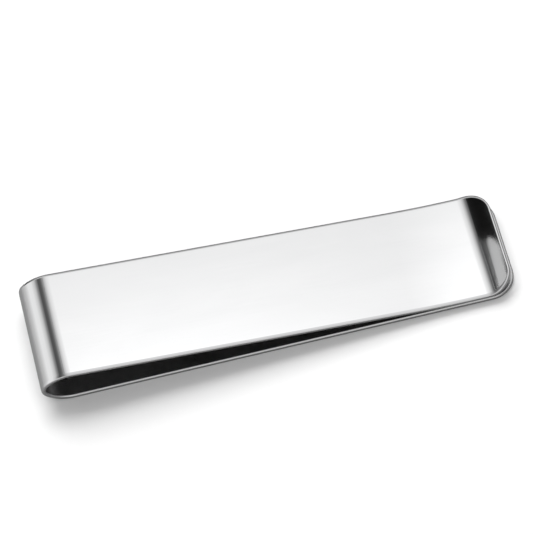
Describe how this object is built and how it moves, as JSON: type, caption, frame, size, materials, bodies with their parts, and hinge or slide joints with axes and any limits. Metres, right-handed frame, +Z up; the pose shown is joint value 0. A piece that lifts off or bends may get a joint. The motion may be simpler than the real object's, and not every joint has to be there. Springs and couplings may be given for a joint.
{
  "type": "money clip",
  "caption": "Polished folded-strip spring clip for banknotes: flat back, U-bend spring, sloping front leaf and a flared lead-in lip.",
  "frame": {"origin": "middle of the flat underside of the back leaf, half way between the nose of the bend and the open end", "axes": "+X from the bend towards the open end, +Y across the strip, +Z up from the flat back towards the front leaf"},
  "size_m": [0.064, 0.016, 0.0059],
  "materials": {
    "polished_steel": "polished"
  },
  "bodies": {
    "root": {"back_leaf": "polished_steel", "spring_bend": "polished_steel"},
    "front": {"front_leaf": "polished_steel", "lead_in_lip": "polished_steel"}
  },
  "joints": [
    {"name": "front_leaf_flex", "type": "hinge", "parent": "root", "child": "front", "pos_m": [-0.03007, 0, 0.00303], "axis": [0, -1, 0], "range_deg": [0, 9], "stiffness_Nm_per_rad": 1.45, "deforming": ["spring_bend"]}
  ]
}
